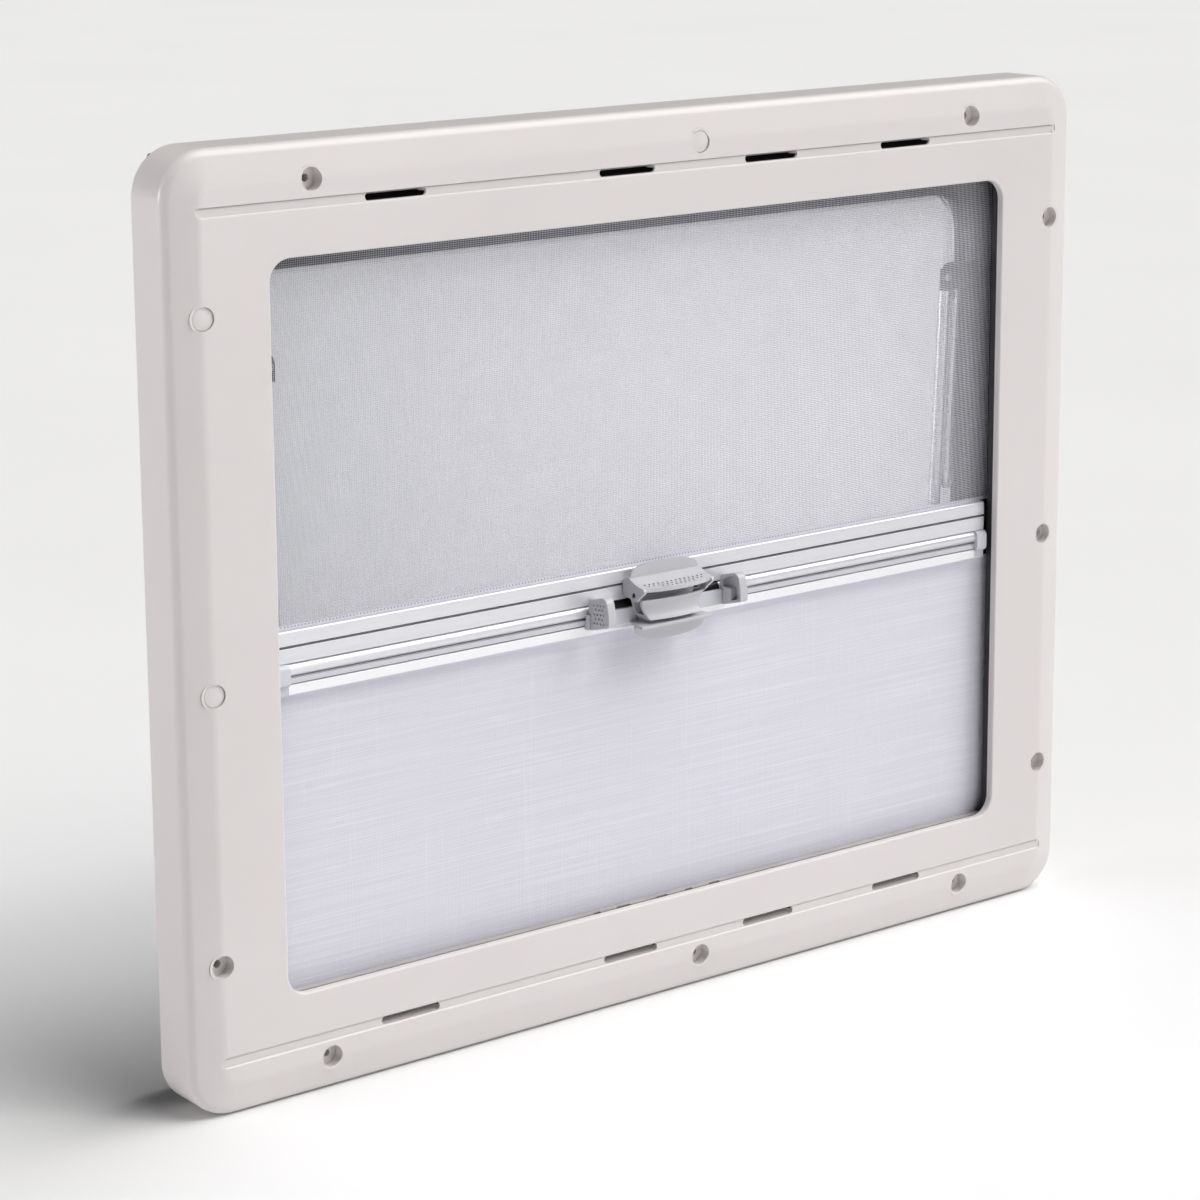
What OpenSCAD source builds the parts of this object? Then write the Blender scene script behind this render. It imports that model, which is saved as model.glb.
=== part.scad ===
// Top-hung caravan window with its inner frame, insect screen and roller blind.
// X runs along the window, Z is up, and Y runs from the room (-Y) to the outdoors (+Y).
// The origin is the centre of the opening, on the wall's inner surface, where the inner frame bears.

/* [Aperture and inner frame] */
// Width of the aperture in the inner frame
aperture_w = 590; // [460:1:1100]
// Height of the aperture in the inner frame
aperture_h = 455; // [330:1:800]
// Corner radius of the aperture
aperture_r = 14; // [8:1:24]
// Width of the inner frame's border, from the aperture to its outer edge
border = 68; // [64:1:84]
// Corner radius of the inner frame's outer edge
frame_r = 30; // [26:1:45]
// How far the inner frame stands off the wall
frame_depth = 40; // [38:1:60]
// Thickness of the inner frame's face
face_t = 3; // [2:0.5:4]
// Thickness of the inner frame's side wall, which bears on the wall
side_t = 3.5; // [2.5:0.5:5]
// Depth of the reveal round the aperture
reveal_depth = 5; // [4:0.5:8]
// Width of the sloped band round the face
slope_w = 21.5; // [18:0.5:26]
// Angle of the sloped band
slope_angle = 15; // [8:1:22]
// Radius of the rounded outer edge
edge_r = 7; // [4:0.5:9]
// Radius of the blend between the sloped band and the face
blend_r = 18; // [6:1:24]

/* [Grooves and slots] */
// Distance of the groove from the aperture
groove_gap = 27.5; // [22:0.5:34]
// Width of the groove
groove_w = 7; // [5:0.5:10]
// Depth of the groove
groove_depth = 1.2; // [0.6:0.1:1.6]
// Length of a vent slot
slot_l = 44; // [20:1:60]
// Width of a vent slot
slot_w = 4.2; // [2:0.1:5]

/* [Screws] */
// Distance of the screws from the inner frame's outer edge
screw_edge = 22.5; // [20:0.5:26]
// Distance of the top and bottom borders' outer screws from the inner frame's sides
screw_in_x = 98.5; // [60:0.5:110]
// Distance of the side borders' outer screws from the inner frame's top and bottom
screw_in_z = 98; // [60:0.5:110]
// Distance of the middle screws from the centre lines
screw_mid = 28.5; // [0:0.5:60]
// Diameter of a screw cup
cup_d = 14.2; // [12:0.1:16]
// Depth of a screw cup
cup_depth = 8; // [4:0.5:12]
// Diameter of the screw holes
screw_hole_d = 5; // [4:0.1:6]
// Wall round a screw cup
cup_wall = 1.8; // [1:0.1:2.5]
// Outer diameter of the screw sleeves
sleeve_d = 10; // [8:0.5:12]

/* [Wall and outer frame] */
// Thickness of the wall that the window is fitted in
wall_t = 18; // [16:1:60]
// How far the frames overlap the wall round its cut-out
wall_overlap = 17.5; // [14:0.5:17.5]
// Gap between the cut-out and the outer frame's spigot
cutout_gap = 0.5; // [0.5:0.5:1.5]
// Wall thickness of the spigot
spigot_t = 2.5; // [2:0.5:4]
// Thickness of the outer frame's flange
flange_t = 3; // [2.5:0.5:5]
// How far the flange overlaps the wall round its cut-out
flange_overlap = 5.5; // [5:0.5:10]
// Width of the lip inside the spigot
inner_lip = 11.5; // [8:0.5:14]
// Gap between the wall's inner surface and the end of the spigot
spigot_end_gap = 3; // [2:0.5:8]

/* [Sash] */
// Thickness of the outer pane
outer_pane_t = 4; // [3:0.5:6]
// Thickness of the inner pane
inner_pane_t = 2; // [1.5:0.5:3]
// Distance between the two panes
pane_gap = 14; // [10:0.5:20]
// Corner radius of the outer pane
pane_r = 30; // [20:1:50]
// Height of the compressed sash seal
seal_h = 4.5; // [3:0.5:7]
// Width of the sash seal
seal_w = 6; // [4:0.5:8]
// Gap between the lip of the outer frame and the inner pane
pane_side_gap = 28.5; // [20:0.5:40]
// Height kept free above the inner pane for the hinge
pane_top_gap = 48.5; // [40:0.5:60]

/* [Blind and screen] */
// Gap between an end rail and a guide, at each end
rail_side_gap = 3.5; // [2:0.5:6]
// Height at which the screen's end rail and the blind's end rail meet
meet_z = -20; // [-60:1:60]
// Height of the screen's end rail
screen_rail_h = 20; // [16:0.5:26]
// Height of the blind's end rail
blind_rail_h = 20; // [18:0.5:26]
// Thickness of the end rails
rail_t = 12; // [10:0.5:14]
// Thickness of the fabrics
fabric_t = 0.8; // [0.5:0.1:1.2]
// Height of a cassette
cassette_h = 27; // [25:0.5:27.5]
// Diameter of a roller with its fabric
roller_d = 19; // [16:0.5:19]

/* [Catch] */
// Width of the catch lever and of the blind handle
catch_w = 58; // [40:1:80]
// How far the catch stands out in front of the end rails
catch_reach = 22; // [16:0.5:26]
// Distance between the outer faces of the two pinch clips
clip_span = 115; // [105:1:150]
// Thickness of a pinch clip
clip_t = 6; // [4:0.5:9]
// Height of a pinch clip
clip_h = 23.5; // [18:0.5:26]

/* [Stays] */
// Distance of the stays' upper pivots from the side of the aperture
stay_in = 13; // [0:0.5:20]
// Distance of the stays' upper pivots below the top of the aperture
stay_drop = 70; // [50:0.5:100]
// Distance of the stays' feet above the bottom of the aperture
stay_foot_rise = 37.5; // [30:0.5:80]
// Diameter of the stays' long bars
stay_bar_d = 8.8; // [6:0.1:10]

/* [Hidden] */
$fn = 48;

// General gaps
fit_gap = 0.3;
slide_gap = 0.5;
through = 1;

// Inner frame
frame_w = aperture_w + 2 * border;
frame_h = aperture_h + 2 * border;
face_y = -frame_depth;
lip_t = 2;
lip_edge_r = 1.2;
plate_in = 4;
flat_w = frame_w - 2 * slope_w;
flat_h = frame_h - 2 * slope_w;
flat_r = frame_r - slope_w;
blend_in = blend_r * tan(slope_angle / 2);
plate_w = flat_w - 2 * blend_in + 1;
plate_h = flat_h - 2 * blend_in + 1;
groove_in_z = aperture_h / 2 + groove_gap;
groove_l = frame_w - 2 * slope_w + 5;
slot_z = groove_in_z + groove_w - slot_w / 2 - 0.6;
slot_share = [-0.3475, -0.0508, 0.1492, 0.3475];
slot_x = [for (share = slot_share) share * aperture_w];
cup_floor_t = 2.5;
cup_od = cup_d + 2 * cup_wall;
cap_d = cup_d - 0.5;
cap_t = 2.4;
cap_sink = 0.6;
screw_x = frame_w / 2 - screw_edge;
screw_corner_x = frame_w / 2 - screw_in_x;
screw_corner_z = frame_h / 2 - screw_in_z;
screw_z = frame_h / 2 - screw_edge;

// Wall, outer frame and sash
cutout_w = frame_w - 2 * wall_overlap;
cutout_h = frame_h - 2 * wall_overlap;
spigot_w = cutout_w - 2 * cutout_gap;
spigot_h = cutout_h - 2 * cutout_gap;
spigot_r = 24;
lip_w = spigot_w - 2 * (spigot_t + inner_lip);
lip_h = spigot_h - 2 * (spigot_t + inner_lip);
lip_r = 12;
flange_w = cutout_w + 2 * flange_overlap;
flange_h = cutout_h + 2 * flange_overlap;
flange_r = 28;
flange_y = wall_t;
flange_top = wall_t + flange_t;
seal_in = 1;
hinge_room = 10;
seal_y = flange_top;
pane_y = seal_y + seal_h;
pane_edge = 7;
outer_pane_w = flange_w - 2 * pane_edge;
outer_pane_top = flange_h / 2 - hinge_room;
outer_pane_bottom = -flange_h / 2 + pane_edge;
outer_pane_h = outer_pane_top - outer_pane_bottom;
outer_pane_z = (outer_pane_top + outer_pane_bottom) / 2;
tray_rim = 6;
tray_slope = 4;
tray_r = 17;
inner_w = lip_w - 2 * pane_side_gap;
inner_top = lip_h / 2 - pane_top_gap;
inner_bottom = -lip_h / 2 + pane_side_gap - 6;
inner_h = inner_top - inner_bottom;
inner_z = (inner_top + inner_bottom) / 2;
inner_y = pane_y - pane_gap - inner_pane_t;
lug_d = 9;
lug_hole_d = 3;
bead_y = pane_y + 2;
bead_z = outer_pane_top + 9.5;
bead_d = 4.4;
hook_t = 1.6;
hook_gap = 0.4;
hook_turn = 190;
hinge_l = outer_pane_w - 20;
hinge_foot_gap = 1.5;
hinge_foot_in = 1;
hinge_foot_t = 2;

// Blind and screen, placed by their depth behind the face
guide_y = face_y + reveal_depth;
guide_in = aperture_w / 2 + 0.5;
guide_w = 21;
guide_t = 22;
guide_wall = 1.5;
groove_front = 6;
groove_span = 10;
fabric_y = guide_y + groove_front + groove_span / 2;
rail_front = fabric_y - rail_t / 2;
rail_back = fabric_y + rail_t / 2;
fabric_w = 2 * (guide_in + 8);
cassette_y = guide_y;
cassette_t = frame_depth - reveal_depth - 2;
cassette_in = aperture_h / 2 + lip_t;
cassette_wall = 1.5;
cassette_l = 2 * (guide_in + guide_w);
cassette_slit = 3;
cassette_end_t = 3;
roller_z = cassette_in + cassette_h / 2;
roller_y = fabric_y + fabric_t / 2 + fit_gap + roller_d / 2;
roller_l = cassette_l - 8;
roller_pin_d = 6;
rail_l = 2 * (guide_in - rail_side_gap);
rail_wall = 1.4;
rail_bulge = 1.2;
rail_cap_w = 8.8;
glide_t = 7;
glide_h = 10;
glide_in = 13;
screen_rail_top = meet_z + screen_rail_h;
blind_rail_bottom = meet_z - 0.3 - blind_rail_h;

// Catch
pivot_d = 3.6;
pivot_gap = 0.1;
pin_recess = 1;
pivot_y = rail_front - 12;
pivot_z = meet_z + 4.6;
ear_r = 2.3;
cheek_t = 2;
cheek_gap = 0.8;
lever_back = rail_front - slide_gap;
lever_front = rail_front - catch_reach;
fan_y = rail_front - 7.5;
fan_t = 1.8;
ridge_z = screen_rail_top - 4.9;
grip_drop = 4.5;
grip_t = 2.2;
grip_front_z = ridge_z - grip_drop;
lip_thick = 3;
lobe_r = 4.1;
fan_rise = 8.6;
fan_power = 2.7;
bulge = 3.5;
handle_top = meet_z + 1.9;
handle_bottom = meet_z - 11.8;
handle_front = rail_front - 22;
handle_half = catch_w / 2 - cheek_t - cheek_gap;
handle_taper = 5.5;
handle_dish = 4;
ledge_z = meet_z - 14.4;
ledge_t = 2;
ledge_front = rail_front - catch_reach;
low_fan_drop = 10.5;
bar_t = 2.5;
bar_front = rail_front - rail_bulge - bar_t;
bar_top = meet_z - 5.3;
bar_h = 10;
clip_top = meet_z + 8;
clip_front = rail_front - catch_reach - 1;
clip_wall = 1.8;
clip_r = 5;
clip_back_drop = 3;
clip_lean = 1.6;
clip_rise = 4.5;
clip_travel = 12;

// Stays and latches
stay_x = aperture_w / 2 - stay_in;
stay_top_z = aperture_h / 2 - stay_drop;
stay_foot_z = -aperture_h / 2 + stay_foot_rise;
stay_y = 2;
stay_lean = 2.8;
bracket_t = 3;
bracket_h = 19;
bracket_r = 8;
bracket_left = 9.7;
stay_slide_d = 7;
stay_slide_gap = 1.8;
foot_t = 3;
latch_z = inner_bottom + 20;
latch_in = 75;
latch_base_t = 6;
tongue_t = 2.5;
tongue_y = inner_y - latch_base_t - fit_gap - tongue_t;
keeper_w = 20;
keeper_t = 11;
keeper_h = 12;
keeper_top = -spigot_h / 2 + spigot_t + keeper_h;
latch_grip = 26;

// Points of an arc about a centre
function arc(c, r, a0, a1, n = 8) =
    [for (i = [0:n]) let (a = a0 + (a1 - a0) * i / n) [c[0] + r * cos(a), c[1] + r * sin(a)]];

// Outline of a rectangle with round corners, centred
function round_rect(w, h, r, n = 10) = concat(
    arc([w / 2 - r, h / 2 - r], r, 0, 90, n),
    arc([-w / 2 + r, h / 2 - r], r, 90, 180, n),
    arc([-w / 2 + r, -h / 2 + r], r, 180, 270, n),
    arc([w / 2 - r, -h / 2 + r], r, 270, 360, n)
);

// A segment of a circle on a level chord, centred, rising by rise
function lens(chord, rise, n = 16) =
    let (r = (chord * chord / 4 + rise * rise) / (2 * rise), half = asin(chord / 2 / r))
    arc([0, rise - r], r, 90 - half, 90 + half, n);

// A lip with a flat crown and round ends on a level chord, centred
function fan(chord, rise, n = 24) =
    [for (i = [0:n]) let (a = 180 * i / n, c = cos(a), e = 2 / fan_power)
        [sign(c) * pow(abs(c), e) * chord / 2, pow(sin(a), e) * rise]];

// Upper line of the lever's grip in Y and Z, steep at the fan and flatter towards the front
function grip_line(drop = 0, n = 8) = [for (i = [0:n]) let (s = i / n)
    [fan_y + s * (lever_front - fan_y), ridge_z - drop - grip_drop * (1 - pow(1 - s, 1.8))]];

// A flat outline in X and Z, made solid from y0 to y1
module panel(y0, y1) {
    translate([0, y1, 0]) rotate([90, 0, 0]) linear_extrude(y1 - y0) children();
}

// A section in Y and Z, made solid along X and centred
module along_x(length) {
    translate([-length / 2, 0, 0]) rotate([90, 0, 90]) linear_extrude(length) children();
}

// A section swept round a rectangle with round corners.
// Its x runs outward from the corner's axis, and its y is the place along Y.
module sweep_frame(w, h, r) {
    for (k = [0:3]) {
        side_l = k % 2 == 0 ? h : w;
        across = k % 2 == 0 ? w : h;
        sx = k == 0 || k == 3 ? 1 : -1;
        sz = k < 2 ? 1 : -1;
        rotate([0, -90 * k, 0])
            translate([across / 2 - r, 0, 0])
                linear_extrude(side_l - 2 * r, center = true) children();
        translate([sx * (w / 2 - r), 0, sz * (h / 2 - r)])
            rotate([0, -90 * (k + 1), 0]) rotate([-90, 0, 0])
                rotate_extrude(angle = 90) children();
    }
}

// A flat ring between two rectangles with round corners
module ring(w, h, r, in_w, in_h, in_r, y0, y1) {
    panel(y0, y1) difference() {
        polygon(round_rect(w, h, r));
        polygon(round_rect(in_w, in_h, in_r));
    }
}

// Centres of the twelve screws, as X and Z
function screw_points() = concat(
    [for (x = [-1, 1], z = [-1, 1]) [x * screw_corner_x, z * screw_z]],
    [for (x = [-1, 1], z = [-1, 1]) [x * screw_x, z * screw_corner_z]],
    [for (z = [-1, 1]) [screw_mid, z * screw_z]],
    [for (x = [-1, 1]) [x * screw_x, -screw_mid]]
);

// The screws that are hidden by a cap
function cap_points() = [
    [screw_mid, screw_z], [-screw_x, screw_corner_z], [-screw_x, -screw_mid]
];

// Round bar along Y at each given X and Z
module bars_at(points, d, y0, y1) {
    for (p = points) translate([p[0], y1, p[1]]) rotate([90, 0, 0]) cylinder(d = d, h = y1 - y0);
}

// Section of the moulded outer edge: sloped band, rounded edge and side wall
module edge_section() {
    arc_x = edge_r * (1 - sin(slope_angle));
    arc_y = (slope_w - arc_x) * tan(slope_angle);
    centre = [frame_r - edge_r, face_y + arc_y + edge_r * cos(slope_angle)];
    inner_r = edge_r - face_t;
    polygon(concat(
        arc([flat_r - blend_in, face_y + blend_r], blend_r, 270, 270 + slope_angle, 4),
        arc(centre, edge_r, 270 + slope_angle, 360, 6),
        [[frame_r, 0], [frame_r - side_t, 0], [frame_r - side_t, centre[1]]],
        arc([centre[0] - side_t + face_t, centre[1]], inner_r, 360, 270 + slope_angle, 4),
        [[flat_r - blend_in, face_y + face_t]]
    ));
}

// Section of the reveal round the aperture, with its small rounded edge
module reveal_section() {
    polygon(concat(
        arc([aperture_r + lip_edge_r, face_y + lip_edge_r], lip_edge_r, 180, 270, 4),
        [
            [aperture_r + plate_in + 1, face_y],
            [aperture_r + plate_in + 1, face_y + face_t],
            [aperture_r + lip_t, face_y + face_t],
            [aperture_r + lip_t, face_y + reveal_depth],
            [aperture_r, face_y + reveal_depth]
        ]
    ));
}

// Section of the groove in Y and Z, with a sharp outer side and a sloped inner side
module groove_section() {
    polygon([
        [face_y - through, groove_in_z - groove_w / 3],
        [face_y, groove_in_z],
        [face_y + groove_depth, groove_in_z + groove_w / 2],
        [face_y + groove_depth, groove_in_z + groove_w],
        [face_y - through, groove_in_z + groove_w]
    ]);
}

module slot_outline() {
    square([slot_l - slot_w, slot_w], center = true);
    for (x = [-1, 1]) translate([x * (slot_l - slot_w) / 2, 0]) circle(d = slot_w);
}

module inner_frame() {
    color([0.86, 0.84, 0.83]) difference() {
        union() {
            sweep_frame(frame_w, frame_h, frame_r) edge_section();
            sweep_frame(aperture_w, aperture_h, aperture_r) reveal_section();
            ring(plate_w, plate_h, flat_r - blend_in + 0.5,
                aperture_w + 2 * plate_in, aperture_h + 2 * plate_in, aperture_r + plate_in,
                face_y, face_y + face_t);
            bars_at(screw_points(), cup_od, face_y + 1.2, face_y + cup_depth + cup_floor_t);
            bars_at(screw_points(), sleeve_d, face_y + cup_depth, spigot_end_gap);
        }
        bars_at(screw_points(), cup_d, face_y - through, face_y + cup_depth);
        bars_at(screw_points(), screw_hole_d, face_y, spigot_end_gap + through);
        for (m = [0, 1]) mirror([0, 0, m]) {
            along_x(groove_l) groove_section();
            for (x = slot_x) translate([x, 0, slot_z])
                panel(face_y - through, face_y + face_t + through) slot_outline();
        }
    }
}

module screw_caps() {
    dome = 0.7;
    stem_d = cap_d - 2.2;
    stem_h = cup_depth - cap_sink - cap_t;
    dome_r = (cap_d * cap_d / 4 + dome * dome) / (2 * dome);
    dome_a = asin(cap_d / 2 / dome_r);
    color([0.88, 0.86, 0.85]) for (p = cap_points()) translate([p[0], face_y + cup_depth, p[1]])
        rotate([90, 0, 0]) rotate_extrude() polygon(concat(
            [[stem_d / 2 - 1, 0], [stem_d / 2, 0], [stem_d / 2, stem_h], [cap_d / 2, stem_h]],
            arc([0, stem_h + cap_t - dome_r], dome_r, 90 - dome_a, 90, 5),
            [[0, stem_h], [stem_d / 2 - 1, stem_h]]
        ));
}

// Cassette: a box section with a slit for the fabric, open inside for the roller
module cassette() {
    along_x(cassette_l) difference() {
        translate([cassette_y, cassette_in]) square([cassette_t, cassette_h]);
        translate([cassette_y + cassette_wall, cassette_in + cassette_wall])
            square([cassette_t - 2 * cassette_wall, cassette_h - 2 * cassette_wall]);
        translate([fabric_y - cassette_slit / 2, cassette_in - through])
            square([cassette_slit, cassette_wall + 2 * through]);
    }
}

module roller() {
    translate([-roller_l / 2, roller_y, roller_z]) rotate([0, 90, 0]) cylinder(d = roller_d, h = roller_l);
    translate([-cassette_l / 2 - cassette_end_t, roller_y, roller_z]) rotate([0, 90, 0])
        cylinder(d = roller_pin_d, h = cassette_l + 2 * cassette_end_t);
}

module top_cassette() {
    color([0.2, 0.2, 0.21]) cassette();
}

module bottom_cassette() {
    color([0.2, 0.2, 0.21]) mirror([0, 0, 1]) cassette();
}

module screen_roller() {
    color([0.35, 0.35, 0.37]) roller();
}

module blind_roller() {
    color([0.85, 0.85, 0.9]) mirror([0, 0, 1]) roller();
}

module cassette_ends() {
    color([0.16, 0.16, 0.17]) for (mx = [0, 1], mz = [0, 1]) mirror([mx, 0, 0]) mirror([0, 0, mz])
        translate([cassette_l / 2, 0, 0]) rotate([90, 0, 90]) linear_extrude(cassette_end_t) difference() {
            translate([cassette_y, cassette_in]) square([cassette_t, cassette_h]);
            translate([roller_y, roller_z]) circle(d = roller_pin_d + 0.2);
        }
}

// Guide: a channel open towards the middle, for the fabric's edge and the glides
module guide() {
    linear_extrude(2 * cassette_in, center = true) difference() {
        translate([guide_in, guide_y]) square([guide_w, guide_t]);
        translate([guide_in - through, guide_y + groove_front])
            square([guide_w - guide_wall + through, groove_span]);
    }
}

module guide_left() {
    color([0.1, 0.1, 0.1]) mirror([1, 0, 0]) guide();
}

module guide_right() {
    color([0.1, 0.1, 0.1]) guide();
}

module insect_screen() {
    color([0.25, 0.25, 0.27, 0.6])
        translate([-fabric_w / 2, fabric_y - fabric_t / 2, screen_rail_top])
            cube([fabric_w, fabric_t, roller_z - screen_rail_top]);
}

module blind_fabric() {
    color([0.85, 0.85, 0.92])
        translate([-fabric_w / 2, fabric_y - fabric_t / 2, -roller_z])
            cube([fabric_w, fabric_t, roller_z + blind_rail_bottom]);
}

// Section of the screen's end rail: two flat bands with a dark joint between them
module screen_rail_section() {
    top = screen_rail_top;
    joint = top - screen_rail_h * 0.46;
    joint_h = 1.6;
    joint_t = 3.4;
    difference() {
        polygon(concat(
            arc([rail_front + 1.5, top - 1.5], 1.5, 180, 90, 4),
            [[rail_back, top], [rail_back, meet_z], [rail_front, meet_z],
             [rail_front, joint - joint_h], [rail_front + joint_t, joint - joint_h], [rail_front + joint_t, joint],
             [rail_front, joint]]
        ));
        translate([rail_front + joint_t + rail_wall, meet_z + rail_wall])
            square([rail_t - joint_t - 2 * rail_wall, screen_rail_h - 2 * rail_wall]);
    }
}

module screen_end_rail() {
    color([0.8, 0.8, 0.82]) along_x(rail_l) screen_rail_section();
}

// Section of the blind's end rail: a rounded bar, a middle band and a lower band, parted by fine lines
module blind_rail_section() {
    top = meet_z - 0.3;
    bar_low = top - blind_rail_h * 0.43;
    band_low = bar_low - blind_rail_h * 0.2;
    bar_c = (top + bar_low) / 2;
    bar_r = (top - bar_low) / 2;
    line = 0.7;
    line_t = 1.8;
    difference() {
        polygon(concat(
            arc([rail_front + bar_r - rail_bulge, bar_c], bar_r, 90, 270, 10),
            [[rail_front + line_t, bar_low],
             [rail_front + line_t, bar_low - line], [rail_front, bar_low - line],
             [rail_front, band_low], [rail_front + line_t, band_low], [rail_front + line_t, band_low - line],
             [rail_front, band_low - line],
             [rail_front, blind_rail_bottom + 0.8], [rail_front + 0.8, blind_rail_bottom],
             [rail_back, blind_rail_bottom], [rail_back, top]]
        ));
        translate([rail_front + line_t + rail_wall, blind_rail_bottom + rail_wall])
            square([rail_t - line_t - 2 * rail_wall, blind_rail_h - 2 * rail_wall]);
    }
}

module blind_end_rail() {
    color([0.84, 0.84, 0.86]) along_x(rail_l - 2 * (rail_cap_w - fit_gap)) blind_rail_section();
}

// End glides of the screen's rail, which run in the guides
module screen_rail_glides() {
    color([0.15, 0.15, 0.16]) for (m = [0, 1]) mirror([m, 0, 0])
        translate([rail_l / 2, fabric_y - glide_t / 2, (screen_rail_top + meet_z) / 2 - glide_h / 2])
            cube([glide_in, glide_t, glide_h]);
}

// End caps of the blind's rail, with the glides that run in the guides
module blind_rail_caps() {
    cap_h = blind_rail_h * 0.72;
    x0 = rail_l / 2 - rail_cap_w + fit_gap;
    front = rail_front - 3;
    cap_r = 3.5;
    top = meet_z - 0.3;
    color([0.78, 0.78, 0.82]) for (m = [0, 1]) mirror([m, 0, 0]) {
        translate([x0, 0, 0]) rotate([90, 0, 90]) linear_extrude(rail_cap_w) polygon(concat(
            arc([front + cap_r, top - cap_r], cap_r, 90, 180, 6),
            arc([front + cap_r, top - cap_h + cap_r], cap_r, 180, 270, 6),
            [[rail_front + 0.4, top - cap_h], [rail_front + 0.4, blind_rail_bottom],
             [rail_back, blind_rail_bottom], [rail_back, top]]
        ));
        translate([x0 + rail_cap_w - 1, fabric_y - glide_t / 2, meet_z - 4 - glide_h])
            cube([glide_in - 4, glide_t, glide_h]);
    }
}

// Base on the screen's rail that the lever turns on
module catch_base() {
    inner_half = catch_w / 2 - cheek_t - cheek_gap;
    ear_t = 4;
    base_t = 4.8;
    base_h = 7.6;
    color([0.55, 0.55, 0.57]) {
        translate([-inner_half, rail_front - base_t, pivot_z - 1.4]) cube([2 * inner_half, base_t, base_h]);
        for (m = [0, 1]) mirror([m, 0, 0]) {
            translate([inner_half - ear_t, 0, 0]) rotate([90, 0, 90]) linear_extrude(ear_t)
                polygon(concat(
                    [[rail_front - base_t + 0.5, pivot_z + 5]],
                    arc([pivot_y, pivot_z], ear_r, 70, 270, 10),
                    [[rail_front - base_t + 0.5, pivot_z - 1.2]]
                ));
            translate([inner_half - 1, pivot_y, pivot_z]) rotate([0, 90, 0])
                cylinder(d = pivot_d, h = cheek_t + cheek_gap + 1 - pin_recess);
        }
    }
}

// Side outline of a cheek in Y and Z, with a lobe round the pivot
module cheek_outline() {
    polygon(concat(
        [[lever_back, ridge_z - 2.2], [fan_y + fan_t - 0.6, ridge_z + 0.3]],
        grip_line(),
        [[lever_front - 1.2, grip_front_z - lip_thick / 2], [lever_front - 1, grip_front_z - lip_thick]],
        arc([pivot_y - 1.2, pivot_z], lobe_r, 205, 310, 8),
        [[lever_back, pivot_z - 1.6]]
    ));
}

module catch_lever() {
    half = catch_w / 2;
    under = grip_line(grip_t);
    color([0.62, 0.62, 0.64]) difference() {
        union() {
            for (m = [0, 1]) mirror([m, 0, 0])
                translate([half - cheek_t, 0, 0]) rotate([90, 0, 90]) linear_extrude(cheek_t) cheek_outline();
            along_x(catch_w - 2 * cheek_t + 0.2)
                polygon(concat(grip_line(), [for (i = [len(under) - 1:-1:0]) under[i]]));
            intersection() {
                along_x(catch_w) polygon([
                    [lever_front + 2, grip_front_z + 0.2], [lever_front - bulge - 1, grip_front_z - 0.6],
                    [lever_front - bulge - 1, grip_front_z - lip_thick], [lever_front + 2, grip_front_z - lip_thick]
                ]);
                translate([0, lever_front + 2, grip_front_z - 10]) mirror([0, 1, 0])
                    linear_extrude(20) polygon(lens(catch_w - 0.4, bulge + 2));
            }
            translate([0, 0, ridge_z - 1.2]) panel(fan_y, fan_y + fan_t) polygon(fan(catch_w - 2, fan_rise + 1.2));
            along_x(catch_w - 1) translate([fan_y - 0.5, ridge_z - grip_t]) square([fan_t + 0.5, grip_t]);
        }
        translate([-half - through, pivot_y, pivot_z]) rotate([0, 90, 0])
            cylinder(d = pivot_d + 2 * pivot_gap, h = catch_w + 2 * through);
    }
}

// Dished handle of the blind, bowed in plan, with its ledge and the fan-shaped lip below
module blind_handle() {
    half = handle_half;
    dish_h = handle_top - handle_bottom;
    dish_r = (dish_h * dish_h / 4 + handle_dish * handle_dish) / (2 * handle_dish);
    bow_r = (half * half + bulge * bulge) / (2 * bulge);
    dish_a = asin(dish_h / 2 / dish_r);
    depth = bar_front - handle_front + 2;
    color([0.66, 0.66, 0.68]) {
        intersection() {
            translate([0, handle_front + bow_r, 0]) rotate_extrude() polygon(concat(
                [[bow_r - depth, handle_bottom]],
                arc([bow_r - handle_dish + dish_r, (handle_top + handle_bottom) / 2], dish_r,
                    180 + dish_a, 180 - dish_a, 10),
                [[bow_r - depth, handle_top]]
            ));
            panel(handle_front - 5, bar_front) polygon([
                [-half, handle_top + 1], [half, handle_top + 1],
                [half - handle_taper, handle_bottom - 1], [-half + handle_taper, handle_bottom - 1]
            ]);
        }
        translate([0, 0, ledge_z - ledge_t]) linear_extrude(ledge_t) polygon([
            [-half - 3.5, ledge_front], [half + 3.5, ledge_front], [half, bar_front], [-half, bar_front]
        ]);
        translate([0, 0, ledge_z - ledge_t + 0.5]) mirror([0, 0, 1])
            panel(ledge_front + 8, ledge_front + 8 + fan_t) polygon(fan(catch_w, low_fan_drop + 0.5));
        translate([-half + handle_taper + 2, bar_front - 8, ledge_z - 0.5])
            cube([2 * (half - handle_taper - 2), 8, handle_bottom - ledge_z + 1]);
    }
}

// Flat bar behind the clips, on the blind's rail
module clip_bar() {
    foot_h = 5.8;
    color([0.82, 0.82, 0.84]) along_x(clip_span + 4) {
        translate([bar_front, bar_top - bar_h]) square([bar_t, bar_h]);
        translate([bar_front + bar_t - 0.5, bar_top - bar_h]) square([rail_bulge + 0.5, foot_h]);
    }
}

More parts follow.
